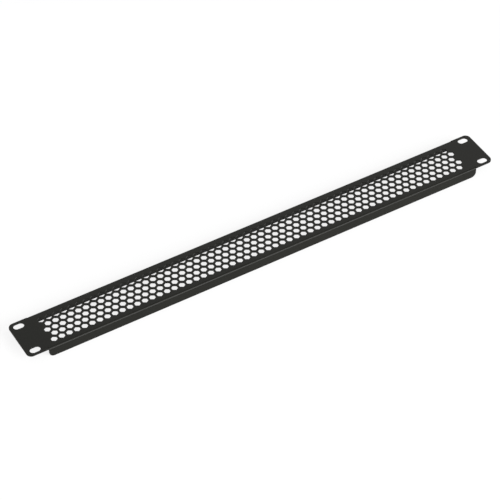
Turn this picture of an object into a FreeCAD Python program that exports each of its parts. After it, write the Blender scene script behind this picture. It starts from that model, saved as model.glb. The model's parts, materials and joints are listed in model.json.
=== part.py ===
"""Vented blanking panel for a 19-inch rack, folded from one sheet of steel.

The panel closes an empty rack unit and lets air through. It is a flat face with
an ear at each end, a honeycomb of punched holes between the ears, and a stiffening
flange folded back along its upper and its lower edge, so its section is a shallow
channel. Each ear has two slots for the rack screws. The flanges stop short of the
ears, because only they pass between the rack's rails, and a narrow slit at each end
of each fold lets it bend without dragging the ear.

The panel lies face up, as on a bench, standing on the free edges of its flanges.
+X runs along the panel to its right-hand ear, +Y towards its upper edge, and +Z
out of its face. The origin is the middle of the four slots, on the back of the
face, which is the plane that seats against the rails.
"""

import math
import os

import FreeCAD
import Part
from FreeCAD import Vector

# ---------------------------------------------------------------- sizes, in mm

# The rack that the panel fits.
rail_opening = 450.0        # clear width between the two rails
rail_hole_inset = 7.55      # from a rail's inner edge to its row of screw holes
rack_unit_height = 44.45
unit_hole_spacing = 12.7    # from a unit's last screw hole to the next unit's first

# The face and its ears.
sheet = 1.5                 # thickness of the steel
unit_gap = 0.75             # how much lower the panel is than its rack unit
ear_overhang = 8.75         # from the middle of a slot to the panel's end
ear_setback = 0.6           # an ear's long edges stand this far inside the folds
ear_corner_radius = 5.0

# The folds and their flanges.
fold_radius = 0.5           # radius inside each fold
flange_depth = 10.4         # from the front of the face to a flange's free edge
flange_corner_radius = 5.0  # at the ends of each free edge
rail_clearance = 3.0        # from each end of a flange to the rail beside it
relief_width = 0.2          # the slit between a fold's end and the ear
relief_overrun = 0.5        # how far the slit runs in past the fold

# The slots for the rack screws.
slot_length = 9.9
slot_width = 6.4

# The honeycomb of holes.
hole_across_flats = 5.55
hole_web = 1.85             # steel left between neighbouring holes
field_end_margin = 6.0      # least plain steel between the holes and a flange's end
field_edge_margin = 5.5     # least plain steel between the holes and a long edge

# ------------------------------------------------------- sizes that follow them

slot_spacing_x = rail_opening + 2 * rail_hole_inset
slot_spacing_y = rack_unit_height - unit_hole_spacing
panel_width = slot_spacing_x + 2 * ear_overhang
panel_height = rack_unit_height - unit_gap          # over the outsides of the folds
ear_height = panel_height - 2 * ear_setback
flange_length = rail_opening - 2 * rail_clearance
outer_fold_radius = fold_radius + sheet
fold_line = panel_height / 2 - outer_fold_radius    # where the flat face ends
fold_foot = sheet - outer_fold_radius               # where the flat flange begins
flange_foot = sheet - flange_depth                  # the flange's free edge

hole_across_corners = hole_across_flats * 2 / math.sqrt(3)
hole_pitch = hole_across_flats + hole_web
row_pitch = hole_pitch * math.sqrt(3) / 2
row_shift = hole_pitch / 4                          # rows lie this far left or right


# -------------------------------------------------------------- flat outlines

def arc_edge(centre, radius, start_angle, end_angle):
    """An arc in a plane of constant Z, counter-clockwise, with angles in degrees."""
    circle = Part.Circle(centre, Vector(0, 0, 1), radius)
    return Part.Arc(circle, math.radians(start_angle), math.radians(end_angle)).toShape()


def joined(arcs):
    """A closed wire of the arcs in their order, with straight lines between them."""
    edges = []
    for arc, following in zip(arcs, arcs[1:] + arcs[:1]):
        line = Part.makeLine(arc.lastVertex().Point, following.firstVertex().Point)
        edges += [arc, line]
    return Part.Wire(edges)


def rounded_rectangle(width, height, radius):
    """A rectangle about the origin with four round corners, as a closed wire."""
    radius = min(radius, 0.49 * width, 0.49 * height)
    x, y = width / 2 - radius, height / 2 - radius
    corners = [Vector(x, y, 0), Vector(-x, y, 0), Vector(-x, -y, 0), Vector(x, -y, 0)]
    return joined([arc_edge(corner, radius, 90 * quarter, 90 * quarter + 90)
                   for quarter, corner in enumerate(corners)])


def slot_outline(centre):
    """A slot along X with round ends, as a closed wire."""
    radius = slot_width / 2
    reach = Vector(slot_length / 2 - radius, 0, 0)
    return joined([arc_edge(centre + reach, radius, -90, 90),
                   arc_edge(centre - reach, radius, 90, 270)])


def hole_outline(centre):
    """A hexagonal hole with its flats to the left and right, as a closed wire."""
    reach = hole_across_corners / 2
    corners = []
    for k in range(6):
        angle = math.radians(30 + 60 * k)
        corners.append(centre + Vector(reach * math.cos(angle), reach * math.sin(angle), 0))
    return Part.makePolygon(corners + corners[:1])


# ---------------------------------------------------------- where the holes are

def slot_centres():
    """The four slots, on the rack's own hole pattern."""
    x, y = slot_spacing_x / 2, slot_spacing_y / 2
    return [Vector(side_x * x, side_y * y, 0) for side_x in (-1, 1) for side_y in (-1, 1)]


def hole_centres():
    """The honeycomb: as many whole holes as the face takes inside its margins."""
    free_length = flange_length - 2 * field_end_margin - hole_across_flats - 2 * row_shift
    free_height = panel_height - 2 * field_edge_margin - hole_across_corners
    columns = int(free_length // hole_pitch) + 1
    rows = int(free_height // row_pitch) + 1
    centres = []
    for row in range(rows):
        shift = -row_shift if row % 2 == 0 else row_shift
        y = (row - (rows - 1) / 2) * row_pitch
        for column in range(columns):
            x = (column - (columns - 1) / 2) * hole_pitch + shift
            centres.append(Vector(x, y, 0))
    return centres


# ------------------------------------------------------------------- the sheet

def pierced_blank():
    """The face and its ears in the flat, with every hole and slot through it."""
    outline = rounded_rectangle(panel_width, ear_height, ear_corner_radius)
    openings = [slot_outline(centre) for centre in slot_centres()]
    openings += [hole_outline(centre) for centre in hole_centres()]
    face = Part.makeFace([outline] + openings, "Part::FaceMakerBullseye")
    return face.extrude(Vector(0, 0, sheet))


def folded_strips():
    """Cutters for the strips of the blank that the two folds take the place of."""
    strips = []
    for low in (fold_line, -fold_line - outer_fold_radius):
        corner = Vector(-flange_length / 2, low, 0)
        strips.append(Part.makeBox(flange_length, outer_fold_radius, sheet, corner))
    return strips


def relief_slits():
    """Cutters for the four slits between the ends of the folds and the ears."""
    radius = relief_width / 2
    x = flange_length / 2 + radius
    near = fold_line - relief_overrun + radius
    far = panel_height / 2 + radius
    slits = []
    for side_x in (-1, 1):
        for low, high in ((near, far), (-far, -near)):
            outline = joined([arc_edge(Vector(side_x * x, high, 0), radius, 0, 180),
                              arc_edge(Vector(side_x * x, low, 0), radius, 180, 360)])
            slits.append(Part.Face(outline).extrude(Vector(0, 0, sheet)))
    return slits


def upper_fold_section():
    """The section of the upper fold and its flange, at the flange's left end."""
    outside = panel_height / 2
    inside = outside - sheet

    def point(y, z):
        return Vector(-flange_length / 2, y, z)

    def fold_arc(radius):
        on_45 = radius * math.sqrt(0.5)
        return Part.Arc(point(fold_line, fold_foot + radius),
                        point(fold_line + on_45, fold_foot + on_45),
                        point(fold_line + radius, fold_foot)).toShape()

    wire = Part.Wire([
        fold_arc(outer_fold_radius),
        Part.makeLine(point(outside, fold_foot), point(outside, flange_foot)),
        Part.makeLine(point(outside, flange_foot), point(inside, flange_foot)),
        Part.makeLine(point(inside, flange_foot), point(inside, fold_foot)),
        fold_arc(fold_radius),
        Part.makeLine(point(fold_line, 0), point(fold_line, sheet)),
    ])
    return Part.Face(wire)


def flange_end_profile():
    """A block with the flange's outline as seen along Y, for rounding its free corners."""
    height = 2 * flange_depth           # its upper corners are clear of the flange
    outline = rounded_rectangle(flange_length, height, flange_corner_radius)
    block = Part.Face(outline).extrude(Vector(0, 0, panel_height))
    block.rotate(Vector(0, 0, 0), Vector(1, 0, 0), -90)
    block.translate(Vector(0, 0, flange_foot + height / 2))
    return block


def upper_flange():
    """The fold along the upper edge and its flange."""
    bar = upper_fold_section().extrude(Vector(flange_length, 0, 0))
    return bar.common(flange_end_profile())


def blanking_panel():
    """The whole panel, as one solid."""
    face = pierced_blank().cut(folded_strips() + relief_slits())
    upper = upper_flange()
    lower = upper.mirror(Vector(0, 0, 0), Vector(0, 1, 0))
    return face.fuse([upper, lower]).removeSplitter()


def export(shape, node):
    """Writes a shape of one solid to its STEP file."""
    if len(shape.Solids) == 1:
        shape = shape.Solids[0]
    shape.exportStep(os.path.join("parts", node + ".step"))
    print(f"{node}: {len(shape.Solids)} solid, valid {shape.isValid()}, "
          f"{len(shape.Faces)} faces, {shape.Volume / 1000:.2f} cm3")


os.makedirs("parts", exist_ok=True)
export(blanking_panel(), "blanking_panel")
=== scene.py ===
"""A vented rack blanking panel: one folded sheet in a satin black powder coat.

The file is laid out as an add-on. The sidebar's Rack Panel tab holds the sizes, the
coat and the studio, and a button for each thing that is made: the folded sheet and
the stage. Lengths are in metres. The sheet lies face up, with +X along it, +Y towards
its upper edge and +Z out of its face, and its back lies in the plane of Z = 0.
"""

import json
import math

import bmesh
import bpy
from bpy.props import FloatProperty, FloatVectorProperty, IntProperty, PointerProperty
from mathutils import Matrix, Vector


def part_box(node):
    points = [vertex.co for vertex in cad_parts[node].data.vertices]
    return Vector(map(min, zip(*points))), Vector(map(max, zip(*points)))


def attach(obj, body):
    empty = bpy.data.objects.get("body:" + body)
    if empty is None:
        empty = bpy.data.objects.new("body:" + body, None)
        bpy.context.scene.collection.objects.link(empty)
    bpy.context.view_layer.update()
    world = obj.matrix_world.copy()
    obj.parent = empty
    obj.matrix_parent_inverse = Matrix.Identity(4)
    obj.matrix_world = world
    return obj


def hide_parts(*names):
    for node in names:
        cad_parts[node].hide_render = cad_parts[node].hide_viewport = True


bl_info = {
    "name": "Vented Rack Blanking Panel",
    "version": (1, 0, 0),
    "blender": (4, 5, 0),
    "location": "3D View > Sidebar > Rack Panel",
    "description": "Folds, coats and lights a vented blanking panel for a 19-inch rack",
    "category": "Add Mesh",
}

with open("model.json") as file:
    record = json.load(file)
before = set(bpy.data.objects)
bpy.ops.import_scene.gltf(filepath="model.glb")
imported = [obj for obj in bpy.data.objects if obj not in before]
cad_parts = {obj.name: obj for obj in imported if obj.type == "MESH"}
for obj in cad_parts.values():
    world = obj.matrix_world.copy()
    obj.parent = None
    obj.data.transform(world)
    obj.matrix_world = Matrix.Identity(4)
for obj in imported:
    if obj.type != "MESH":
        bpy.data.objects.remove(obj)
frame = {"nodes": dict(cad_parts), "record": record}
CAD_NODE = "blanking_panel"
MM = 0.001


# ------------------------------------------------------ what the frame measures

def farthest(axis, chosen=lambda corner: True):
    """How far the solid's chosen corners reach along an axis, from the origin."""
    corners = (vertex.co for vertex in frame["nodes"][CAD_NODE].data.vertices)
    return max(abs(corner[axis]) for corner in corners if chosen(corner))


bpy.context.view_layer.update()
FOOT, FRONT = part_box(CAD_NODE)[0].z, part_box(CAD_NODE)[1].z
HALF_WIDTH = farthest(0)
HALF_HEIGHT = farthest(1)
# Only the flanges reach down behind the face, and only the ears lie out beyond them.
HALF_FLANGE = farthest(0, lambda corner: corner.z < -MM)
HALF_EAR = farthest(1, lambda corner: abs(corner.x) > HALF_FLANGE + 2 * MM)
MOUNTS = {mount["name"]: mount for mount in frame["record"]["mounts"]}
SLOTS = MOUNTS["rack_slots"]["dims"]


# ------------------------------------------------- sizes and colours to be set

def length(name, description, default):
    """A length that the sidebar shows in the scene's units."""
    return FloatProperty(name=name, description=description, default=default,
                         min=0.0, precision=5, unit="LENGTH", subtype="DISTANCE")


def colour(name, description, default):
    """A colour, as linear red, green and blue."""
    return FloatVectorProperty(name=name, description=description, default=default,
                               size=3, min=0.0, max=1.0, subtype="COLOR")


def share(name, description, default):
    """A number from 0 to 1."""
    return FloatProperty(name=name, description=description, default=default,
                         min=0.0, max=1.0, subtype="FACTOR")


def angle(name, description, degrees):
    """An angle, which the sidebar shows in degrees."""
    return FloatProperty(name=name, description=description,
                         default=math.radians(degrees), subtype="ANGLE")


class RackPanelSizes(bpy.types.PropertyGroup):
    """The sizes of the folded sheet."""
    width: length("Width", "From end to end, over the ears", 2 * HALF_WIDTH)
    height: length("Height", "Over the outsides of the two folds", 2 * HALF_HEIGHT)
    ear_height: length("Ear Height", "Between the long edges of an ear", 2 * HALF_EAR)
    flange_length: length("Flange Length", "Of each flange, from end to end", 2 * HALF_FLANGE)
    flange_depth: length("Flange Depth", "From the front of the face to a free edge",
                         FRONT - FOOT)
    sheet: length("Sheet", "Thickness of the steel", FRONT)
    fold_radius: length("Fold Radius", "Radius inside each fold", 0.5 * MM)
    ear_radius: length("Ear Corner Radius", "Radius of the ears' corners", 5 * MM)
    flange_radius: length("Flange Corner Radius", "Radius of the flanges' free corners", 5 * MM)
    relief_width: length("Relief Width", "Width of the slit between a fold and an ear",
                         0.2 * MM)
    relief_overrun: length("Relief Overrun", "How far the slit runs in past the fold",
                           0.5 * MM)
    slot_spacing_x: length("Slot Spacing X", "Between slots, along the panel",
                           SLOTS["spacing_x_mm"] * MM)
    slot_spacing_y: length("Slot Spacing Y", "Between slots, across the panel",
                           SLOTS["spacing_y_mm"] * MM)
    slot_length: length("Slot Length", "From end to end of a slot",
                        SLOTS["slot_length_mm"] * MM)
    slot_width: length("Slot Width", "Across a slot", 2 * SLOTS["hole_r_mm"] * MM)
    hole_across_flats: length("Hole Across Flats", "Across each hole, flat to flat", 5.55 * MM)
    hole_web: length("Hole Web", "Steel left between neighbouring holes", 1.85 * MM)
    end_margin: length("End Margin", "Least plain steel from the holes to a flange's end",
                       6 * MM)
    edge_margin: length("Edge Margin", "Least plain steel from the holes to a long edge",
                        5.5 * MM)
    edge_rounding: length("Edge Rounding", "How far the coat rounds off each cut edge",
                          0.16 * MM)
    border: length("Border", "Width of the narrow faces along the outline, the slots and "
                   "the folds", 0.3 * MM)
    arc_steps: IntProperty(name="Arc Steps", description="Straight steps in a quarter turn",
                           default=12, min=2, max=32)


class RackPanelCoat(bpy.types.PropertyGroup):
    """The powder coat."""
    tone: colour("Tone", "Main colour of the coat", (0.0034, 0.0035, 0.0020))
    dusty_tone: colour("Dusty Tone", "Paler colour that drifts over it",
                       (0.0046, 0.0047, 0.0029))
    drift: FloatProperty(name="Drift", description="How often the tone drifts in a metre",
                         default=22.0, min=0.0)
    gloss_level: share("Gloss Level", "Strength of the coat's reflection", 0.15)
    roughness: share("Roughness", "How widely the coat spreads a reflection", 0.42)
    roughness_drift: share("Roughness Drift", "How far the roughness drifts each way with "
                           "the tone", 0.05)
    grain: length("Grain", "Spacing of the coat's fine grain", 0.35 * MM)
    grain_relief: length("Grain Relief", "Height of the coat's fine grain", 0.012 * MM)


class RackPanelStage(bpy.types.PropertyGroup):
    """The floor, the sky and the camera."""
    floor_tone: colour("Floor Tone", "Colour of the floor", (0.97, 0.97, 0.97))
    floor_reach: length("Floor Reach", "From the panel's middle to each side of the floor",
                        6.0)
    shadow: share("Shadow", "How much of the shadow on the floor is seen", 0.17)
    sky: FloatProperty(name="Sky", description="Strength of the plain light all round",
                       default=0.48, min=0.0)
    aim: FloatVectorProperty(name="Aim", description="Point that the camera looks at, a "
                             "little left of the face's middle and below it",
                             default=(-13.73 * MM, -6.82 * MM, FRONT), size=3,
                             precision=5, unit="LENGTH", subtype="TRANSLATION")
    azimuth: angle("Azimuth", "Camera's turn round the panel, from its lower edge", -30.48)
    elevation: angle("Elevation", "Camera's height, as an angle over the floor", 45.08)
    roll: angle("Roll", "Camera's turn about its own line of sight", -0.23)
    distance: length("Distance", "From the camera to the point it looks at", 1.8981)
    lens: FloatProperty(name="Lens", description="Focal length of the camera, in mm",
                        default=152.87, min=1.0, unit="CAMERA")


# ----------------------------------------------------------------- flat outlines

def arc(centre, radius, start, turn, steps):
    """Points along an arc, both ends included. Angles are in degrees."""
    points = []
    for step in range(steps + 1):
        angle = math.radians(start + turn * step / steps)
        points.append(centre + radius * Vector((math.cos(angle), math.sin(angle))))
    return points


def face_outline(size, inset=0.0):
    """The outline of the face and its ears with the relief slits, or a line inset from it."""
    half_flange = size.flange_length / 2
    half_ear = size.ear_height / 2
    slit_radius = size.relief_width / 2
    fold_line = size.height / 2 - size.fold_radius - size.sheet
    slit_end = Vector((half_flange + slit_radius,
                       fold_line - size.relief_overrun + slit_radius))
    ear_corner = Vector((size.width / 2 - size.ear_radius, half_ear - size.ear_radius))
    quarter = [Vector((half_flange - inset, fold_line - inset))]
    quarter += arc(slit_end, slit_radius + inset, 180, 180, size.arc_steps // 2)
    quarter += [Vector((half_flange + size.relief_width + inset, half_ear - inset))]
    quarter += arc(ear_corner, size.ear_radius - inset, 90, -90, size.arc_steps)
    outline = []
    # Each quarter is the first one mirrored, and every other one runs backwards.
    for side_x, side_y, order in ((1, 1, 1), (1, -1, -1), (-1, -1, 1), (-1, 1, -1)):
        outline += [Vector((side_x * x, side_y * y)) for x, y in quarter[::order]]
    return outline


def slot_outlines(size, margin=0.0):
    """The outlines of the four slots for the rack screws, or lines that far round them."""
    radius = size.slot_width / 2 + margin
    reach = Vector(((size.slot_length - size.slot_width) / 2, 0))
    steps = 2 * size.arc_steps
    outlines = []
    for side_x in (-1, 1):
        for side_y in (-1, 1):
            centre = Vector((side_x * size.slot_spacing_x, side_y * size.slot_spacing_y)) / 2
            outlines.append(arc(centre + reach, radius, -90, 180, steps)
                            + arc(centre - reach, radius, 90, 180, steps))
    return outlines


def hole_centres(size):
    """The middles of the honeycomb's holes, row by row from the lower edge."""
    pitch = size.hole_across_flats + size.hole_web
    row_pitch = pitch * math.sqrt(3) / 2
    hole_height = size.hole_across_flats * 2 / math.sqrt(3)
    row_shift = pitch / 4
    free_length = (size.flange_length - 2 * size.end_margin
                   - size.hole_across_flats - 2 * row_shift)
    free_height = size.height - 2 * size.edge_margin - hole_height
    columns = int(free_length // pitch) + 1
    rows = int(free_height // row_pitch) + 1
    centres = []
    for row in range(rows):
        shift = -row_shift if row % 2 == 0 else row_shift
        y = (row - (rows - 1) / 2) * row_pitch
        for column in range(columns):
            x = (column - (columns - 1) / 2) * pitch + shift
            centres.append(Vector((x, y)))
    return centres


def hexagon(centre, across_flats):
    """A hexagon with its flats to the left and right."""
    reach = across_flats / math.sqrt(3)
    angles = [math.radians(30 + 60 * k) for k in range(6)]
    return [centre + reach * Vector((math.cos(angle), math.sin(angle))) for angle in angles]


# ------------------------------------------------------------- the folded sheet

class SheetBuilder:
    """Draws the outside of the sheet as a mesh with no thickness."""

    MEETING_DIGITS = 7      # two points of the face that agree to so many decimals are one

    def __init__(self, size):
        self.size = size
        self.mesh = bmesh.new()
        self.corners = {}
        self.front = size.sheet

    def corner(self, point):
        """The mesh's corner at a point of the front face, made once."""
        key = (round(point.x, self.MEETING_DIGITS), round(point.y, self.MEETING_DIGITS))
        if key not in self.corners:
            self.corners[key] = self.mesh.verts.new((point.x, point.y, self.front))
        return self.corners[key]

    def loop(self, points):
        """A closed line of edges through points of the front face."""
        corners = [self.corner(point) for point in points]
        edges = []
        for start, end in zip(corners, corners[1:] + corners[:1]):
            if start is not end:
                edges.append(self.mesh.edges.get((start, end))
                             or self.mesh.edges.new((start, end)))
        return edges

    def ring(self, outer, inner):
        """A closed band of four-cornered faces between two lines of as many points."""
        for k, point in enumerate(outer):
            following = (k + 1) % len(outer)
            band = (point, outer[following], inner[following], inner[k])
            self.mesh.faces.new([self.corner(place) for place in band])

    def honeycomb(self):
        """A ring of six faces round each hole. Returns the edges round the whole comb."""
        size = self.size
        rims = set()
        for centre in hole_centres(size):
            hole = hexagon(centre, size.hole_across_flats)
            self.ring(hexagon(centre, size.hole_across_flats + size.hole_web), hole)
            rims.update(self.corner(point) for point in hole)
        return [edge for edge in self.mesh.edges
                if edge.is_boundary and not rims.intersection(edge.verts)]

    def plain_steel(self, comb_edge):
        """The rest of the face, from the honeycomb out to the outline and the slots."""
        size = self.size
        within = face_outline(size, size.border)
        self.ring(face_outline(size), within)
        edges = comb_edge + self.loop(within)
        for slot, around in zip(slot_outlines(size), slot_outlines(size, size.border)):
            self.ring(around, slot)
            edges += self.loop(around)
        bmesh.ops.triangle_fill(self.mesh, edges=edges, use_beauty=True, normal=(0, 0, 1))

    def flange(self, side):
        """The fold along the upper (side 1) or lower (-1) edge, and the flange behind it."""
        size = self.size
        radius = size.fold_radius + size.sheet
        fold_line = size.height / 2 - radius
        half = size.flange_length / 2

        # The fold, from the face's own edge to just behind the bend.
        last = [self.corner(Vector((x, side * fold_line))) for x in (-half, half)]
        fold = arc(Vector((fold_line, self.front - radius)), radius, 90, -90, size.arc_steps)
        flat_from = Vector((size.height / 2, self.front - radius - size.border))
        for out, up in [*fold[1:], flat_from]:
            line = [self.mesh.verts.new((x, side * out, up)) for x in (-half, half)]
            self.mesh.faces.new((last[0], last[1], line[1], line[0]))
            last = line

        # The flat flange behind it, with two round corners at its free edge.
        foot = self.front - size.flange_depth
        corner = size.flange_radius
        ends = (arc(Vector((half - corner, foot + corner)), corner, 0, -90, size.arc_steps)
                + arc(Vector((corner - half, foot + corner)), corner, -90, -90,
                      size.arc_steps))
        free = [self.mesh.verts.new((x, side * size.height / 2, z)) for x, z in ends]
        self.mesh.faces.new([last[0], last[1], *free])

    def finished(self, name):
        """The mesh, with its faces turned outwards."""
        bmesh.ops.recalc_face_normals(self.mesh, faces=self.mesh.faces)
        self.mesh.faces.ensure_lookup_table()
        if self.mesh.faces[0].normal.z < 0:
            bmesh.ops.reverse_faces(self.mesh, faces=self.mesh.faces)
        data = bpy.data.meshes.new(name)
        self.mesh.to_mesh(data)
        self.mesh.free()
        data.shade_smooth()
        return data


CUT_EDGE_ANGLE = math.radians(40)   # a cut edge turns by more, and a fold's step by less


def thicken_and_soften(piece, size):
    """Gives the drawn sheet its thickness and rounds every cut edge as the coat does."""
    thickness = piece.modifiers.new("Steel thickness", "SOLIDIFY")
    thickness.thickness = size.sheet
    thickness.offset = -1
    thickness.use_even_offset = True
    rounding = piece.modifiers.new("Coated edges", "BEVEL")
    rounding.width = size.edge_rounding
    rounding.segments = 2
    rounding.limit_method = "ANGLE"
    rounding.angle_limit = CUT_EDGE_ANGLE
    rounding.loop_slide = False
    rounding.use_clamp_overlap = False
    rounding.harden_normals = True


# --------------------------------------------------------------- the powder coat

DRIFT_RANGE = (0.35, 0.68)      # nearly all values of the drifting noise lie in it


def node(tree, kind, location, **settings):
    """A shader node with some of its settings and unlinked sockets set."""
    made = tree.nodes.new(kind)
    made.location = location
    for name, value in settings.items():
        if name in made.inputs:
            made.inputs[name].default_value = value
        else:
            setattr(made, name, value)
    return made


def empty_tree(owner):
    """The node tree of a new material or world, with no nodes in it."""
    owner.use_nodes = True
    owner.node_tree.nodes.clear()
    return owner.node_tree


def powder_coat(coat):
    """Satin black powder coat: two drifting tones, a drifting gloss and a fine grain."""
    material = bpy.data.materials.new("powder_coat")
    tree = empty_tree(material)
    link = tree.links.new
    place = node(tree, "ShaderNodeTexCoord", (-1200, 0))

    # A slow noise drifts between the two tones, and the roughness drifts with it.
    drift = node(tree, "ShaderNodeTexNoise", (-900, 300), Scale=coat.drift, Detail=3.0,
                 Roughness=0.55)
    link(place.outputs["Object"], drift.inputs["Vector"])
    spread = node(tree, "ShaderNodeMapRange", (-650, 300))
    spread.inputs["From Min"].default_value = DRIFT_RANGE[0]
    spread.inputs["From Max"].default_value = DRIFT_RANGE[1]
    link(drift.outputs["Fac"], spread.inputs["Value"])
    tones = node(tree, "ShaderNodeMix", (-400, 300), data_type="RGBA")
    tones.inputs["A"].default_value = (*coat.tone, 1)
    tones.inputs["B"].default_value = (*coat.dusty_tone, 1)
    link(spread.outputs["Result"], tones.inputs["Factor"])
    gloss = node(tree, "ShaderNodeMapRange", (-400, 0))
    gloss.inputs["To Min"].default_value = coat.roughness - coat.roughness_drift
    gloss.inputs["To Max"].default_value = coat.roughness + coat.roughness_drift
    link(drift.outputs["Fac"], gloss.inputs["Value"])

    # A fine noise is the grain.
    grain = node(tree, "ShaderNodeTexNoise", (-650, -350), Scale=1 / coat.grain)
    link(place.outputs["Object"], grain.inputs["Vector"])
    relief = node(tree, "ShaderNodeBump", (-400, -350), Distance=coat.grain_relief)
    link(grain.outputs["Fac"], relief.inputs["Height"])

    surface = node(tree, "ShaderNodeBsdfPrincipled", (100, 0))
    surface.inputs["Specular IOR Level"].default_value = coat.gloss_level
    link(tones.outputs["Result"], surface.inputs["Base Color"])
    link(gloss.outputs["Result"], surface.inputs["Roughness"])
    link(relief.outputs["Normal"], surface.inputs["Normal"])
    output = node(tree, "ShaderNodeOutputMaterial", (400, 0))
    link(surface.outputs["BSDF"], output.inputs["Surface"])
    return material


class RACKPANEL_OT_fold_sheet(bpy.types.Operator):
    """Fold the panel from one pierced sheet and coat it"""
    bl_idname = "rack_panel.fold_sheet"
    bl_label = "Fold Sheet"

    def execute(self, context):
        size = context.scene.rack_panel_sizes
        builder = SheetBuilder(size)
        builder.plain_steel(builder.honeycomb())
        for side in (-1, 1):
            builder.flange(side)
        piece = bpy.data.objects.new("vented_sheet", builder.finished("vented_sheet"))
        context.scene.collection.objects.link(piece)
        thicken_and_soften(piece, size)
        piece.data.materials.append(powder_coat(context.scene.rack_panel_coat))
        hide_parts(CAD_NODE)
        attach(piece, "root")
        return {"FINISHED"}


# --------------------------------------------------------------------- the stage

# Azimuths and elevations in degrees, distances and sizes in metres, powers in watts.
SOFTBOXES = {
    "key_softbox": {"azimuth": 20, "elevation": 23, "distance": 4.0, "size": (2.4, 2.8),
                    "power": 264},
    "left_softbox": {"azimuth": -60, "elevation": 35, "distance": 1.0, "size": (0.8, 0.8),
                     "power": 1.5},
    "back_softbox": {"azimuth": 141, "elevation": 44, "distance": 2.4, "size": (2.4, 0.8),
                     "power": 6.5},
}


def seen_white(tree, location, camera_share=1.0):
    """How white a surface looks: camera_share to the camera, 1 in gloss or glass, else 0."""
    link = tree.links.new
    x, y = location
    path = node(tree, "ShaderNodeLightPath", location)
    camera = node(tree, "ShaderNodeMath", (x + 200, y), operation="MULTIPLY")
    link(path.outputs["Is Camera Ray"], camera.inputs[0])
    camera.inputs[1].default_value = camera_share
    gloss = node(tree, "ShaderNodeMath", (x + 400, y), operation="MAXIMUM")
    link(camera.outputs["Value"], gloss.inputs[0])
    link(path.outputs["Is Glossy Ray"], gloss.inputs[1])
    glass = node(tree, "ShaderNodeMath", (x + 600, y), operation="MAXIMUM")
    link(gloss.outputs["Value"], glass.inputs[0])
    link(path.outputs["Is Transmission Ray"], glass.inputs[1])
    return glass.outputs["Value"]


def floor_material(stage):
    """Pale paint that looks white, but for a share of the shadow that lies on it."""
    material = bpy.data.materials.new("studio_floor")
    tree = empty_tree(material)
    link = tree.links.new
    paint = node(tree, "ShaderNodeBsdfDiffuse", (0, 100), Color=(*stage.floor_tone, 1))
    white = node(tree, "ShaderNodeEmission", (0, -100), Strength=1.0)
    mix = node(tree, "ShaderNodeMixShader", (250, 0))
    link(seen_white(tree, (-850, 250), 1 - stage.shadow), mix.inputs["Fac"])
    link(paint.outputs["BSDF"], mix.inputs[1])
    link(white.outputs["Emission"], mix.inputs[2])
    output = node(tree, "ShaderNodeOutputMaterial", (450, 0))
    link(mix.outputs["Shader"], output.inputs["Surface"])
    return material


def lay_floor(context, stage):
    """A wide flat floor under the flanges' free edges."""
    reach = stage.floor_reach
    data = bpy.data.meshes.new("studio_floor")
    data.from_pydata([(-reach, -reach, FOOT), (reach, -reach, FOOT),
                      (reach, reach, FOOT), (-reach, reach, FOOT)], [], [(0, 1, 2, 3)])
    floor = bpy.data.objects.new("studio_floor", data)
    data.materials.append(floor_material(stage))
    context.scene.collection.objects.link(floor)


def fill_sky(context, stage):
    """White all round where it is seen, and a plain soft light on what it lights."""
    world = bpy.data.worlds.new("studio_sky")
    tree = empty_tree(world)
    link = tree.links.new
    strength = node(tree, "ShaderNodeMapRange", (-200, 0))
    strength.inputs["To Min"].default_value = stage.sky
    strength.inputs["To Max"].default_value = 1.0
    link(seen_white(tree, (-1050, 0)), strength.inputs["Value"])
    light = node(tree, "ShaderNodeBackground", (0, 0), Color=(1, 1, 1, 1))
    link(strength.outputs["Result"], light.inputs["Strength"])
    output = node(tree, "ShaderNodeOutputWorld", (250, 0))
    link(light.outputs["Background"], output.inputs["Surface"])
    context.scene.world = world


def direction(azimuth, elevation):
    """A unit vector at angles in radians. Azimuth runs from -Y round towards +X."""
    return Vector((math.sin(azimuth) * math.cos(elevation),
                   -math.cos(azimuth) * math.cos(elevation), math.sin(elevation)))


def hang_softbox(context, name, azimuth, elevation, distance, size, power):
    """A rectangular softbox that faces the panel, at angles in degrees."""
    towards = direction(math.radians(azimuth), math.radians(elevation))
    data = bpy.data.lights.new(name, "AREA")
    data.shape = "RECTANGLE"
    data.size, data.size_y = size
    data.energy = power
    lamp = bpy.data.objects.new(name, data)
    lamp.location = distance * towards
    lamp.rotation_euler = towards.to_track_quat("Z", "Y").to_euler()
    context.scene.collection.objects.link(lamp)


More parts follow.
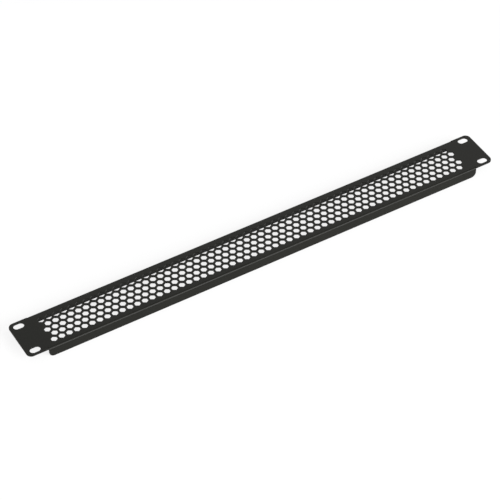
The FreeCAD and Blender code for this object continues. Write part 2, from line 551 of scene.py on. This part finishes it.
def aim_camera(context, stage):
    """The camera, a long lens that looks down on the panel from its lower left."""
    data = bpy.data.cameras.new("studio_camera")
    data.lens = stage.lens
    camera = bpy.data.objects.new("studio_camera", data)
    place = Vector(stage.aim) + stage.distance * direction(stage.azimuth, stage.elevation)
    camera.matrix_world = (Matrix.Translation(place)
                           @ Matrix.Rotation(stage.azimuth, 4, "Z")
                           @ Matrix.Rotation(math.pi / 2 - stage.elevation, 4, "X")
                           @ Matrix.Rotation(stage.roll, 4, "Z"))
    context.scene.collection.objects.link(camera)
    context.scene.camera = camera


class RACKPANEL_OT_set_stage(bpy.types.Operator):
    """Lay the floor, hang the lamps and aim the camera"""
    bl_idname = "rack_panel.set_stage"
    bl_label = "Set Stage"

    def execute(self, context):
        stage = context.scene.rack_panel_stage
        lay_floor(context, stage)
        fill_sky(context, stage)
        for name, settings in SOFTBOXES.items():
            hang_softbox(context, name, **settings)
        aim_camera(context, stage)
        context.scene.view_settings.view_transform = "Standard"
        return {"FINISHED"}


# ------------------------------------------------------------------- the sidebar

class RACKPANEL_PT_sidebar(bpy.types.Panel):
    """The settings of the sheet, its coat and the studio, and the buttons"""
    bl_idname = "RACKPANEL_PT_sidebar"
    bl_label = "Vented Blanking Panel"
    bl_space_type = "VIEW_3D"
    bl_region_type = "UI"
    bl_category = "Rack Panel"

    def draw(self, context):
        scene = context.scene
        for title, group in (("Sheet", scene.rack_panel_sizes),
                             ("Powder coat", scene.rack_panel_coat),
                             ("Studio", scene.rack_panel_stage)):
            box = self.layout.box()
            box.label(text=title)
            for name in group.__annotations__:
                box.prop(group, name)
        for operator in OPERATORS:
            self.layout.operator(operator.bl_idname)


OPERATORS = (RACKPANEL_OT_fold_sheet, RACKPANEL_OT_set_stage)
GROUPS = {"rack_panel_sizes": RackPanelSizes, "rack_panel_coat": RackPanelCoat,
          "rack_panel_stage": RackPanelStage}


def register():
    """Makes Blender know the classes, and gives each scene its settings."""
    for cls in (*GROUPS.values(), *OPERATORS, RACKPANEL_PT_sidebar):
        bpy.utils.register_class(cls)
    for name, group in GROUPS.items():
        setattr(bpy.types.Scene, name, PointerProperty(type=group))


def unregister():
    """Takes the settings and the classes away again."""
    for name in GROUPS:
        delattr(bpy.types.Scene, name)
    for cls in (RACKPANEL_PT_sidebar, *OPERATORS, *GROUPS.values()):
        bpy.utils.unregister_class(cls)


def main():
    """Makes the panel and its stage."""
    register()
    bpy.ops.rack_panel.fold_sheet()
    bpy.ops.rack_panel.set_stage()


if __name__ == "__main__":
    main()
